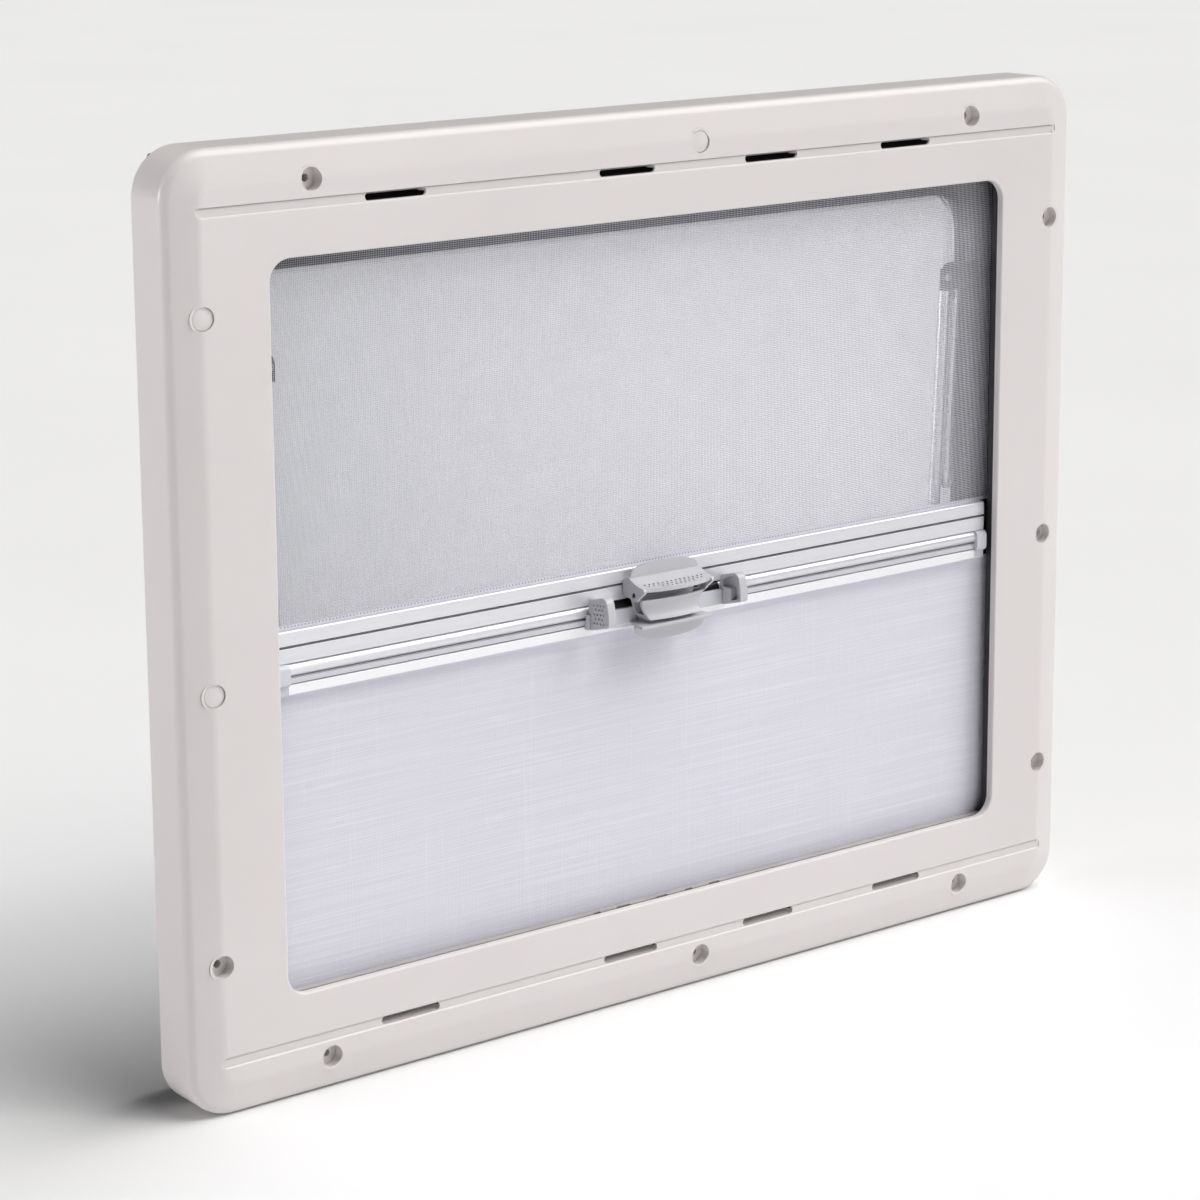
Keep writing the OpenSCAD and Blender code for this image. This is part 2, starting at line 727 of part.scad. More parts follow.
// Side outline of a pinch clip in Y and Z: a leaning round-cornered plate
module clip_outline(inset = 0) {
    back = rail_front - rail_bulge - slide_gap - inset;
    front = clip_front + inset;
    top = clip_top - inset;
    low_back = clip_top - clip_h + inset;
    low_front = low_back + clip_rise;
    r = clip_r - inset / 2;
    polygon(concat(
        arc([back - r * 0.7, top - clip_back_drop - r * 0.7], r * 0.7, 0, 90, 5),
        arc([front + clip_lean + r, top - r], r, 80, 165, 6),
        [[front + 0.2, top - clip_h * 0.42]],
        arc([front + r / 2, low_front + r / 2], r / 2, 180, 258, 4),
        arc([back - r / 2, low_back + r / 2], r / 2, 258, 360, 4)
    ));
}

module pinch_clip() {
    difference() {
        translate([clip_span / 2 - clip_t, 0, 0]) rotate([90, 0, 90]) linear_extrude(clip_t) clip_outline();
        // L-shaped hollow on the inner side
        translate([clip_span / 2 - clip_t - through, 0, 0]) rotate([90, 0, 90])
            linear_extrude(clip_t - clip_wall + through) difference() {
                clip_outline(clip_wall);
                translate([clip_front + 10, bar_top - bar_h - 6]) square([20, bar_h + 8]);
            }
        // Slot that rides on the bar
        translate([clip_span / 2 - clip_t - through, bar_front - slide_gap, bar_top - bar_h - slide_gap])
            cube([clip_t + 2 * through, bar_t + slide_gap + through, bar_h + 2 * slide_gap]);
    }
}

module pinch_clip_left() {
    color([0.6, 0.6, 0.62]) mirror([1, 0, 0]) pinch_clip();
}

module pinch_clip_right() {
    color([0.6, 0.6, 0.62]) pinch_clip();
}

module outer_frame() {
    color([0.14, 0.14, 0.15]) difference() {
        union() {
            ring(flange_w, flange_h, flange_r, spigot_w - 2, spigot_h - 2, spigot_r, flange_y, flange_top);
            ring(spigot_w, spigot_h, spigot_r, spigot_w - 2 * spigot_t, spigot_h - 2 * spigot_t, spigot_r - spigot_t,
                spigot_end_gap, flange_top);
            ring(spigot_w - 2, spigot_h - 2, spigot_r - 1, lip_w, lip_h, lip_r, flange_y, flange_top);
            bars_at(screw_points(), lug_d, spigot_end_gap, flange_y + 1);
        }
        bars_at(screw_points(), lug_hole_d, spigot_end_gap - through, flange_y - 2);
    }
}

module sash_seal() {
    color([0.08, 0.08, 0.08]) ring(lip_w + 2 * (seal_in + seal_w), lip_h + 2 * (seal_in + seal_w), lip_r + seal_in + seal_w,
        lip_w + 2 * seal_in, lip_h + 2 * seal_in, lip_r + seal_in, seal_y, seal_y + seal_h);
}

// Rail fixed to the outer frame, with the bead that the sash hangs on
module hinge_rail() {
    foot_z = outer_pane_top + hinge_foot_gap;
    color([0.2, 0.2, 0.21]) along_x(hinge_l) {
        translate([flange_top, foot_z]) square([hinge_foot_t, flange_h / 2 - hinge_foot_in - foot_z]);
        translate([flange_top + 1, bead_z - 5]) square([bead_y + 0.8 - flange_top - 1, 1.8]);
        translate([bead_y - 0.8, bead_z - 5]) square([1.6, 4]);
        translate([bead_y, bead_z]) circle(d = bead_d);
    }
}

// Rail on the top edge of the outer pane, hooked over the bead
module sash_hinge_rail() {
    hook_r = bead_d / 2 + hook_gap;
    hook_out = hook_r + hook_t;
    inner_leg = 2.7;
    outer_leg = 12;
    color([0.2, 0.2, 0.21]) along_x(hinge_l) polygon(concat(
        [[pane_y, outer_pane_top - inner_leg], [pane_y - hook_t, outer_pane_top - inner_leg],
         [pane_y - hook_t, outer_pane_top + hook_t], [bead_y + hook_r, outer_pane_top + hook_t]],
        arc([bead_y, bead_z], hook_r, 0, hook_turn, 16),
        arc([bead_y, bead_z], hook_out, hook_turn, 0, 16),
        [[bead_y + hook_out, outer_pane_top - outer_leg],
         [pane_y + outer_pane_t, outer_pane_top - outer_leg],
         [pane_y + outer_pane_t, outer_pane_top], [pane_y, outer_pane_top]]
    ));
}

module outer_pane() {
    color([0.8, 0.82, 0.88, 0.4]) translate([0, 0, outer_pane_z])
        panel(pane_y, pane_y + outer_pane_t) polygon(round_rect(outer_pane_w, outer_pane_h, pane_r));
}

// Inner pane: a tray whose rim is bonded to the outer pane
module inner_pane() {
    tray_top = inner_y + inner_pane_t;
    color([0.82, 0.84, 0.9, 0.4]) translate([0, 0, inner_z]) {
        sweep_frame(inner_w, inner_h, tray_r) polygon([
            [tray_r - tray_slope - 6, inner_y], [tray_r - tray_slope, inner_y], [tray_r, pane_y - inner_pane_t],
            [tray_r + tray_rim, pane_y - inner_pane_t], [tray_r + tray_rim, pane_y],
            [tray_r - 1.5, pane_y], [tray_r - tray_slope - 1.5, tray_top], [tray_r - tray_slope - 6, tray_top]
        ]);
        panel(inner_y, tray_top) polygon(round_rect(
            inner_w - 2 * tray_slope - 10, inner_h - 2 * tray_slope - 10, tray_r - tray_slope - 5));
    }
}

// Bracket on the spigot's side wall that carries a stay's pivot
module stay_bracket() {
    wall_x = spigot_w / 2 - spigot_t;
    left = stay_x - bracket_left;
    plate_y = stay_y - stay_bar_d / 2 - fit_gap;
    top = stay_top_z + bracket_h / 2;
    color([0.17, 0.17, 0.18]) {
        panel(plate_y - bracket_t, plate_y) polygon(concat(
            arc([left + bracket_r, top - bracket_r], bracket_r, 90, 180, 8),
            [[left, top - bracket_h], [wall_x, top - bracket_h], [wall_x, top]]
        ));
        translate([wall_x - bracket_t, plate_y - bracket_t, top - bracket_h])
            cube([bracket_t, stay_bar_d + bracket_t + fit_gap, bracket_h]);
        translate([stay_x, plate_y + fit_gap + 0.2, stay_top_z]) rotate([90, 0, 0])
            cylinder(d = 5, h = fit_gap + 0.4);
    }
}

module stay_bracket_left() {
    mirror([1, 0, 0]) stay_bracket();
}

module stay_bracket_right() {
    stay_bracket();
}

// Long bar of a stay, from the bracket's pivot down to the foot
module stay_bar() {
    length = stay_top_z - stay_foot_z + 8;
    color([0.8, 0.8, 0.82]) translate([stay_x, stay_y, stay_top_z + 4]) rotate([0, 180 + stay_lean, 0])
        cylinder(d = stay_bar_d, h = length);
}

module stay_bar_left() {
    mirror([1, 0, 0]) stay_bar();
}

module stay_bar_right() {
    stay_bar();
}

// Short slide beside the long bar, on its outer side, held to it by two clamps
module stay_slide() {
    offset_x = stay_bar_d / 2 + stay_slide_gap + stay_slide_d / 2;
    clamp_l = offset_x - stay_bar_d / 2 - fit_gap;
    clamp_t = stay_slide_d - 1;
    length = stay_top_z - screen_rail_top - 2;
    color([0.75, 0.75, 0.78]) translate([stay_x, stay_y, stay_top_z + 4]) rotate([0, 180 + stay_lean, 0]) {
        translate([-offset_x, 0, 10]) cylinder(d = stay_slide_d, h = length - 10);
        for (along = [16, length - 8])
            translate([-offset_x, -clamp_t / 2, along]) cube([clamp_l, clamp_t, 6]);
    }
}

module stay_slide_left() {
    mirror([1, 0, 0]) stay_slide();
}

module stay_slide_right() {
    stay_slide();
}

// Foot that carries the lower end of a stay on the inner pane
module stay_foot() {
    foot_x = stay_x - (stay_top_z - stay_foot_z) * tan(stay_lean);
    color([0.17, 0.17, 0.18])
        translate([foot_x - 9, stay_y + stay_bar_d / 2 + fit_gap, stay_foot_z - 14])
            cube([18, inner_y - stay_y - stay_bar_d / 2 - fit_gap, 22]);
}

module stay_foot_left() {
    mirror([1, 0, 0]) stay_foot();
}

module stay_foot_right() {
    stay_foot();
}

// Turn latch near a lower corner of the sash, with a tongue that reaches in front of its keeper
module sash_latch() {
    x = inner_w / 2 - latch_in;
    base_w = 28;
    base_h = 20;
    hub_d = 12;
    grip_w = 10;
    grip_y = tongue_y - 5;
    tongue_w = 8;
    color([0.12, 0.12, 0.13]) {
        translate([x - base_w / 2, inner_y - latch_base_t, latch_z - base_h / 2])
            cube([base_w, latch_base_t, base_h]);
        translate([x, inner_y - latch_base_t + 0.5, latch_z]) rotate([90, 0, 0])
            cylinder(d = hub_d, h = inner_y - latch_base_t - grip_y - 1);
        translate([x - grip_w / 2, grip_y, latch_z - 4]) cube([grip_w, 4, latch_grip]);
        translate([x - tongue_w / 2, tongue_y, keeper_top - 6])
            cube([tongue_w, tongue_t, latch_z - keeper_top + 6]);
    }
}

module sash_latch_left() {
    mirror([1, 0, 0]) sash_latch();
}

module sash_latch_right() {
    sash_latch();
}

// Keepers for the latches on the lower side of the outer frame's spigot
module latch_keepers() {
    keeper_y = tongue_y + tongue_t + slide_gap;
    color([0.12, 0.12, 0.13]) for (m = [0, 1]) mirror([m, 0, 0])
        translate([inner_w / 2 - latch_in - keeper_w / 2, keeper_y, keeper_top - keeper_h])
            cube([keeper_w, keeper_t, keeper_h]);
}

inner_frame();
screw_caps();
top_cassette();
bottom_cassette();
screen_roller();
blind_roller();
cassette_ends();
guide_left();
guide_right();
insect_screen();
blind_fabric();
screen_end_rail();
screen_rail_glides();
blind_end_rail();
blind_rail_caps();
catch_base();
catch_lever();
blind_handle();
clip_bar();
pinch_clip_left();
pinch_clip_right();
outer_frame();
sash_seal();
hinge_rail();
sash_hinge_rail();
outer_pane();
inner_pane();
stay_bracket_left();
stay_bracket_right();
stay_bar_left();
stay_bar_right();
stay_slide_left();
stay_slide_right();
stay_foot_left();
stay_foot_right();
sash_latch_left();
sash_latch_right();
latch_keepers();
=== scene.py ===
"""Looks of the caravan window: finishes, fine detail, floor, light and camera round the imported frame."""

import math

import bmesh
import bpy
from mathutils import Matrix, Vector


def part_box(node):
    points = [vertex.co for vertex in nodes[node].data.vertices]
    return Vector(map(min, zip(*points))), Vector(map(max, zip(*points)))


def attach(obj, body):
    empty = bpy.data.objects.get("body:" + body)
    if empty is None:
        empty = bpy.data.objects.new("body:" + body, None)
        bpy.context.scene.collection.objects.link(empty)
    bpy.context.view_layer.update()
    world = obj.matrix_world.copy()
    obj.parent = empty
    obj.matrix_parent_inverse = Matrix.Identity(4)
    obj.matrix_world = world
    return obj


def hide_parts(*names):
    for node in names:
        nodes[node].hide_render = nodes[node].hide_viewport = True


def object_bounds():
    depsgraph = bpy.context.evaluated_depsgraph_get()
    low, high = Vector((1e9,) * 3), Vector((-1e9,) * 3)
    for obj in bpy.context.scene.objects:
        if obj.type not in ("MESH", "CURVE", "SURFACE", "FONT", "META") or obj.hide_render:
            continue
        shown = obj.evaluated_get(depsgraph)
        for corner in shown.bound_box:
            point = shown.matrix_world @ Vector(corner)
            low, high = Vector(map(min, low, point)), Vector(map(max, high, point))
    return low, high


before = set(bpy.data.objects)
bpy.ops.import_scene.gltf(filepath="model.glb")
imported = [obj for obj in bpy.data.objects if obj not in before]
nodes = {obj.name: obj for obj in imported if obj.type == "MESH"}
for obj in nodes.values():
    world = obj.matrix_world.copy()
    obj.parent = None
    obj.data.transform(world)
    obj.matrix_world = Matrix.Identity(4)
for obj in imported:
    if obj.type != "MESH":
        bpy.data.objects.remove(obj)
cad_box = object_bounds()
MM = 0.001

# Camera: place, aim and lens of the photograph's viewpoint
CAMERA_PLACE = Vector((-1.3288, -1.7186, 0.5199))
CAMERA_YAW = math.radians(37.214)
CAMERA_PITCH = math.radians(12.207)
CAMERA_ROLL = math.radians(0.35)
CAMERA_LENS = 101.8
CAMERA_SHIFT = -0.1

scene = bpy.context.scene


# Shader maths


class Signal:
    """A socket inside a finish. Maths on it adds Math nodes."""

    def __init__(self, finish, socket):
        self.finish = finish
        self.socket = socket

    def maths(self, operation, *values):
        return self.finish.node("ShaderNodeMath", {"operation": operation}, dict(enumerate(values)))

    def __add__(self, other):
        return self.maths("ADD", self, other)

    def __radd__(self, other):
        return self.maths("ADD", other, self)

    def __sub__(self, other):
        return self.maths("SUBTRACT", self, other)

    def __rsub__(self, other):
        return self.maths("SUBTRACT", other, self)

    def __mul__(self, other):
        return self.maths("MULTIPLY", self, other)

    def __rmul__(self, other):
        return self.maths("MULTIPLY", other, self)

    def __pow__(self, other):
        return self.maths("POWER", self, other)

    def larger(self, other):
        return self.maths("MAXIMUM", self, other)

    def size(self):
        return self.maths("ABSOLUTE", self)

    def sine(self):
        return self.maths("SINE", self)

    def step(self, low, high):
        """0 below low and 1 above high, with a smooth change between."""
        return self.finish.node(
            "ShaderNodeMapRange",
            {"interpolation_type": "SMOOTHSTEP"},
            {"Value": self, "From Min": low, "From Max": high},
        )


class Finish:
    """One material and the few nodes that the finishes share."""

    def __init__(self, name):
        self.material = bpy.data.materials.new(name)
        self.material.use_nodes = True
        self.tree = self.material.node_tree
        self.tree.nodes.clear()
        self.object_place = self.node("ShaderNodeTexCoord", output="Object")

    def node(self, kind, settings=None, sockets=None, output=0):
        made = self.tree.nodes.new(kind)
        for name, value in (settings or {}).items():
            setattr(made, name, value)
        for name, value in (sockets or {}).items():
            if isinstance(value, Signal):
                self.tree.links.new(value.socket, made.inputs[name])
            else:
                made.inputs[name].default_value = value
        return Signal(self, made.outputs[output])

    def stretched(self, factors):
        """The place in the object, with each axis multiplied."""
        sockets = {0: self.object_place, 1: factors}
        return self.node("ShaderNodeVectorMath", {"operation": "MULTIPLY"}, sockets)

    def axes(self):
        parts = self.node("ShaderNodeSeparateXYZ", sockets={0: self.object_place})
        sockets = parts.socket.node.outputs
        return [Signal(self, sockets[i]) for i in range(3)]

    def noise(self, scale, factors=(1, 1, 1), detail=2.0, roughness=0.5):
        place = self.stretched(factors)
        return self.node(
            "ShaderNodeTexNoise",
            sockets={"Vector": place, "Scale": scale, "Detail": detail, "Roughness": roughness},
        )

    def grains(self, scale, factors=(1, 1, 1)):
        """Distance to the nearest grain's centre."""
        return self.node("ShaderNodeTexVoronoi", sockets={"Vector": self.stretched(factors), "Scale": scale})

    def mix(self, amount, first, second):
        return self.node(
            "ShaderNodeMix", {"data_type": "RGBA"}, {0: amount, 6: first, 7: second}, output=2
        )

    def relief(self, height, depth, strength=1.0):
        """A normal from a height of 0 to 1 that stands for this depth in metres."""
        return self.node(
            "ShaderNodeBump", sockets={"Height": height, "Distance": depth, "Strength": strength}
        )

    def plain_shader(self, **sockets):
        named = {name.replace("_", " "): value for name, value in sockets.items()}
        return self.node("ShaderNodeBsdfPrincipled", sockets=named)

    def end(self, shader):
        output = self.tree.nodes.new("ShaderNodeOutputMaterial")
        self.tree.links.new(shader.socket, output.inputs["Surface"])
        return self.material


def moulded_finish(name, light, dark, roughness, grain=0.00002, grain_scale=1500, specular=0.5):
    """Moulded plastic: fine spark-eroded grain, and the faint unevenness of its colour and sheen."""
    finish = Finish(name)
    cloud = finish.noise(9, detail=3)
    speckle = finish.noise(grain_scale, detail=2)
    sheen = finish.noise(26, detail=4)
    colour = finish.mix((cloud * 0.75 + speckle * 0.25).step(0.3, 0.7), dark, light)
    height = speckle * 0.7 + finish.grains(grain_scale * 0.6) * 0.3
    return finish.end(
        finish.plain_shader(
            Base_Color=colour,
            Roughness=roughness - 0.04 + sheen * 0.08,
            Normal=finish.relief(height, grain, 0.5),
            Specular_IOR_Level=specular,
        )
    )


def pin_hole_shade_finish(name, light, dark, roughness, reach):
    """Moulded plastic whose pins end near black and rougher beyond this distance from the middle: painted
    shade for the pivot holes they sit in.
    """
    finish = Finish(name)
    x, _, _ = finish.axes()
    cloud = finish.noise(9, detail=3)
    speckle = finish.noise(1500, detail=2)
    plastic = finish.mix((cloud * 0.75 + speckle * 0.25).step(0.3, 0.7), dark, light)
    # Painted shade: past the reach the pins turn near black, for the dark pivot holes
    end = x.size().step(reach - 0.0002, reach)
    colour = finish.mix(end, plastic, (0.02, 0.02, 0.022, 1))
    return finish.end(
        finish.plain_shader(
            Base_Color=colour,
            Roughness=roughness + end * 0.15,
            Normal=finish.relief(speckle, 0.00002, 0.5),
        )
    )


def anodised_finish(name, light, dark, roughness, bands=(), metal=0.45):
    """Drawn and anodised aluminium: fine lines along X from the die.

    Each band is a lowest and a highest z, a reach from the middle along X, and a colour. It
    colours an insert of the section, paints shade into a groove of the section, or is painted shade that
    stands for a dark gap the section lacks.
    """
    finish = Finish(name)
    x, _, z = finish.axes()
    lines = finish.noise(1, factors=(3, 2600, 2600), detail=2)
    streaks = finish.noise(1, factors=(0.8, 260, 260), detail=2)
    frost = finish.noise(3500, detail=1)
    colour = finish.mix((streaks * 0.6 + lines * 0.4).step(0.3, 0.7), dark, light)
    for low, high, reach, own in bands:
        inside = z.step(low - 0.00005, low + 0.00005) * (1 - z.step(high - 0.00005, high + 0.00005))
        inside = inside * (1 - x.size().step(reach - 0.0002, reach + 0.0002))
        colour = finish.mix(inside, colour, own)
    return finish.end(
        finish.plain_shader(
            Base_Color=colour,
            Metallic=metal,
            Roughness=roughness - 0.06 + lines * 0.12,
            Normal=finish.relief(lines * 0.6 + frost * 0.4, 0.000012, 0.5),
        )
    )


def upright_metal_finish(name, light, dark, roughness):
    """Drawn aluminium bar with its lines along Z."""
    finish = Finish(name)
    lines = finish.noise(1, factors=(2400, 2400, 4), detail=2)
    cloud = finish.noise(30, detail=3)
    colour = finish.mix((lines * 0.5 + cloud * 0.5).step(0.3, 0.7), dark, light)
    return finish.end(
        finish.plain_shader(
            Base_Color=colour,
            Metallic=0.7,
            Roughness=roughness - 0.05 + cloud * 0.1,
            Normal=finish.relief(lines, 0.00001, 0.5),
        )
    )


def linen_finish(name):
    """Coated linen-look cloth: fine level ribs, a fainter upright weave, and thin thick-and-thin threads. Its
    colour follows the weave's height: painted shade in the hollows, and the lighter tone of the thick
    threads.
    """
    finish = Finish(name)
    x, _, z = finish.axes()
    wobble_x = finish.noise(45, factors=(1, 1, 0.15)) * 2.0
    wobble_z = finish.noise(45, factors=(0.15, 1, 1)) * 2.0
    warp = (x * (math.tau / WARP_PITCH) + wobble_x).sine() * 0.5 + 0.5
    weft = (z * (math.tau / WEFT_PITCH) + wobble_z).sine() * 0.5 + 0.5
    strong_rib = finish.noise(1, factors=(6, 1, 900), detail=1).step(0.42, 0.7)
    level_thread = 1 - (finish.noise(1, factors=(4, 1, 190), detail=1) - 0.5).size().step(0.0, 0.028)
    upright_thread = 1 - (finish.noise(1, factors=(110, 1, 2.5), detail=1) - 0.5).size().step(0.0, 0.012)
    height = weft * 0.28 + strong_rib * 0.28 + warp * 0.17 + level_thread * 0.15 + upright_thread * 0.12
    cloud = finish.noise(9, detail=3)
    # Painted shade in the weave's hollows, plus the thick threads' lighter tone and a faint cloud
    shade = (height * 0.85 + cloud * 0.15).step(0.05, 0.75)
    colour = finish.mix(shade, (0.69, 0.685, 0.765, 1), (0.79, 0.785, 0.865, 1))
    return finish.end(
        finish.plain_shader(
            Base_Color=colour,
            Roughness=0.74 + height * 0.12,
            Normal=finish.relief(height, 0.00016, 0.7),
            Specular_IOR_Level=0.25,
        )
    )


def thread_finish(name, light, dark):
    """Coated polyester: the insect screen's threads, and the felt of the lip under the blind, whose dark
    colour is painted shade.
    """
    finish = Finish(name)
    cloud = finish.noise(60, detail=2)
    fibre = finish.noise(2200, detail=1)
    colour = finish.mix((cloud * 0.5 + fibre * 0.5).step(0.3, 0.7), dark, light)
    return finish.end(
        finish.plain_shader(
            Base_Color=colour,
            Roughness=0.5 + fibre * 0.2,
            Normal=finish.relief(fibre, 0.00002, 0.4),
        )
    )


def hem_finish(name):
    """The screen's welded hem: threads pressed flat, with a row of short dents, coloured dark as painted
    shade.
    """
    finish = Finish(name)
    x, _, z = finish.axes()
    across = (x * (math.tau / (2 * THREAD_PITCH))).sine() * 0.5 + 0.5
    cloud = finish.noise(40, detail=2)
    dent = across.step(0.55, 0.85) * (1 - (z - HEM_HEIGHT * 0.5).size().step(0.0003, 0.0006))
    height = 1 - dent
    # Painted shade: the dents are coloured dark
    colour = finish.mix((height * 0.9 + cloud * 0.1), (0.34, 0.34, 0.38, 1), (0.76, 0.76, 0.83, 1))
    return finish.end(
        finish.plain_shader(
            Base_Color=colour, Roughness=0.6 + cloud * 0.1, Normal=finish.relief(height, 0.0001, 0.7)
        )
    )


def acrylic_finish(name, clear=None, corners_only=False, smoked=None):
    """Clear acrylic with a slight milky tint.

    Beyond the clear outline, given as half width, half height, middle height and corner radius, the dark bond
    shows. With corners_only it leaves out the upright sides. Beyond the smoked distance the bond is thinner.
    """
    finish = Finish(name)
    haze = finish.noise(6, detail=3)
    facing = finish.node("ShaderNodeLayerWeight", sockets={"Blend": 0.5}, output="Facing")
    share = facing ** 5 * 0.9 + 0.06 + haze * 0.02
    colour = finish.mix(haze.step(0.3, 0.7), (0.7, 0.7, 0.8, 1), (0.82, 0.82, 0.92, 1))
    roughness = 0.04 + haze * 0.03
    if clear:
        half_x, half_z, middle, radius = clear
        x, _, z = finish.axes()
        out_x = (x.size() - (half_x - radius)).larger(0.0)
        out_z = ((z - middle).size() - (half_z - radius)).larger(0.0)
        beyond = (out_x * out_x + out_z * out_z) ** 0.5 - radius
        bond = beyond.step(-0.0004, 0.0008)
        if corners_only:
            on_front = 1 - (x.size() - half_x).step(0.0002, 0.0008)
            past_end = ((z - middle).size() - half_z).step(-0.0004, 0.0008)
            bond = (bond * out_z.step(0.0, 0.001) * on_front).larger(past_end)
        colour = finish.mix(bond, colour, (0.02, 0.02, 0.022, 1))
        if smoked:
            bond = bond * (1 - beyond.step(smoked - 0.001, smoked) * 0.22)
        share = share.larger(bond * 0.94)
        roughness = roughness + bond * 0.3
    see_through = finish.node("ShaderNodeBsdfTransparent", sockets={"Color": (0.975, 0.975, 0.985, 1)})
    body = finish.plain_shader(Base_Color=colour, Roughness=roughness, IOR=1.49)
    return finish.end(finish.node("ShaderNodeMixShader", sockets={0: share, 1: see_through, 2: body}))


def rubber_finish(name):
    finish = Finish(name)
    cloud = finish.noise(30, detail=4)
    grain = finish.noise(1800, detail=1)
    colour = finish.mix(cloud.step(0.35, 0.7), (0.012, 0.012, 0.013, 1), (0.03, 0.03, 0.032, 1))
    return finish.end(
        finish.plain_shader(
            Base_Color=colour, Roughness=0.62 + cloud * 0.2, Normal=finish.relief(grain, 0.00003, 0.5)
        )
    )


def floor_finish(name):
    finish = Finish(name)
    cloud = finish.noise(1.4, detail=4)
    grain = finish.noise(500, detail=2)
    colour = finish.mix(cloud.step(0.3, 0.7), (0.88, 0.88, 0.885, 1), (0.895, 0.895, 0.9, 1))
    return finish.end(
        finish.plain_shader(
            Base_Color=colour, Roughness=0.85 + cloud * 0.1, Normal=finish.relief(grain, 0.0001, 0.15),
            Specular_IOR_Level=0.2,
        )
    )


# Cloth measures
WARP_PITCH = 1.1 * MM
WEFT_PITCH = 1.3 * MM
THREAD_PITCH = 1.25 * MM
THREAD_RADIUS = 0.155 * MM
HEM_HEIGHT = 2 * MM
HEM_INSET = 2 * MM
HEM_FRONT = 0.25 * MM
HEM_BACK = 0.3 * MM
CLOTH_THICKNESS = 0.45 * MM

# Beyond this distance from the middle the base's pins stand in the lever's cheeks
PIN_REACH = 26.6 * MM

trim = moulded_finish("trim_plastic", (0.745, 0.71, 0.705, 1), (0.725, 0.69, 0.685, 1), 0.34)
cap_trim = moulded_finish("cap_plastic", (0.75, 0.715, 0.71, 1), (0.73, 0.695, 0.69, 1), 0.3, 0.00001)
black = moulded_finish("black_plastic", (0.022, 0.022, 0.024, 1), (0.012, 0.012, 0.013, 1), 0.42)
dark_grey = moulded_finish("bracket_plastic", (0.06, 0.06, 0.065, 1), (0.035, 0.035, 0.04, 1), 0.4)
grey = moulded_finish("catch_plastic", (0.58, 0.578, 0.61, 1), (0.55, 0.548, 0.58, 1), 0.36, 0.00003)
# Dark grey catch base, darker than the other catch parts: painted shade for the deep gap between lever and
# handle
base_painted_shade = pin_hole_shade_finish("catch_base_painted_shade", (0.19, 0.19, 0.2, 1), (0.16, 0.16, 0.17, 1), 0.4, PIN_REACH)
pale = moulded_finish("pale_plastic", (0.68, 0.68, 0.74, 1), (0.6, 0.6, 0.66, 1), 0.36)
rail_light = (0.8, 0.8, 0.84, 1)
rail_dark = (0.74, 0.74, 0.78, 1)
# Near black for the rails' grooves: painted shade in them
groove_painted_shade = (0.16, 0.16, 0.175, 1)
flange_white = (0.95, 0.95, 0.97, 1)
band_grey = (0.66, 0.66, 0.71, 1)
# Near black band between the clips: painted shade for the dark opening there
gap_painted_shade = (0.012, 0.012, 0.013, 1)
ALL_ALONG, BETWEEN_CLIPS = 300 * MM, 51 * MM

# The grooves are in the rails' sections, and the bands paint shade into them and colour the lower flange and
# the middle strip.
# The last band of the blind's rail is painted shade only: the opening between the clips isn't in the rail's
# solid.
screen_rail_metal = anodised_finish(
    "screen_rail_metal", rail_light, rail_dark, 0.34, [(-10.7 * MM, -9.3 * MM, ALL_ALONG, groove_painted_shade)]
)
blind_rail_metal = anodised_finish(
    "blind_rail_metal",
    rail_light,
    rail_dark,
    0.34,
    [
        (-40.4 * MM, -33.55 * MM, ALL_ALONG, flange_white),
        (-33.55 * MM, -32.85 * MM, ALL_ALONG, groove_painted_shade),
        (-32.85 * MM, -28.9 * MM, ALL_ALONG, band_grey),
        (-29.15 * MM, -28.5 * MM, ALL_ALONG, groove_painted_shade),
        (-30 * MM, -20 * MM, BETWEEN_CLIPS, gap_painted_shade),
    ],
)
dark_metal = anodised_finish("coated_hinge_rail", (0.06, 0.06, 0.065, 1), (0.04, 0.04, 0.045, 1), 0.4)
bar_metal = upright_metal_finish("stay_bar_metal", (0.9, 0.9, 0.92, 1), (0.8, 0.8, 0.83, 1), 0.26)
screw_metal = upright_metal_finish("screw_zinc", (0.75, 0.75, 0.76, 1), (0.55, 0.55, 0.57, 1), 0.3)
linen = linen_finish("blind_linen")
thread = thread_finish("screen_thread", (0.86, 0.86, 0.92, 1), (0.79, 0.79, 0.85, 1))
hem = hem_finish("screen_hem_cloth")
# The lip's colour is the trim colour darkened: painted shade for the shaded strip at the cloth's foot
felt_painted_shade = thread_finish("lip_felt_painted_shade", (0.5, 0.47, 0.46, 1), (0.4, 0.375, 0.365, 1))
seal = rubber_finish("seal_rubber")

# Clear outlines of the panes: half width, half height, middle height and corner radius
PANE_MIDDLE = -13 * MM
INNER_CLEAR = (298.5 * MM, 225 * MM, PANE_MIDDLE, 13 * MM)
OUTER_CLEAR = (315 * MM, 234 * MM, PANE_MIDDLE, 40 * MM)
inner_acrylic = acrylic_finish("inner_acrylic", INNER_CLEAR, corners_only=True)
outer_acrylic = acrylic_finish("outer_acrylic", OUTER_CLEAR, smoked=8 * MM)

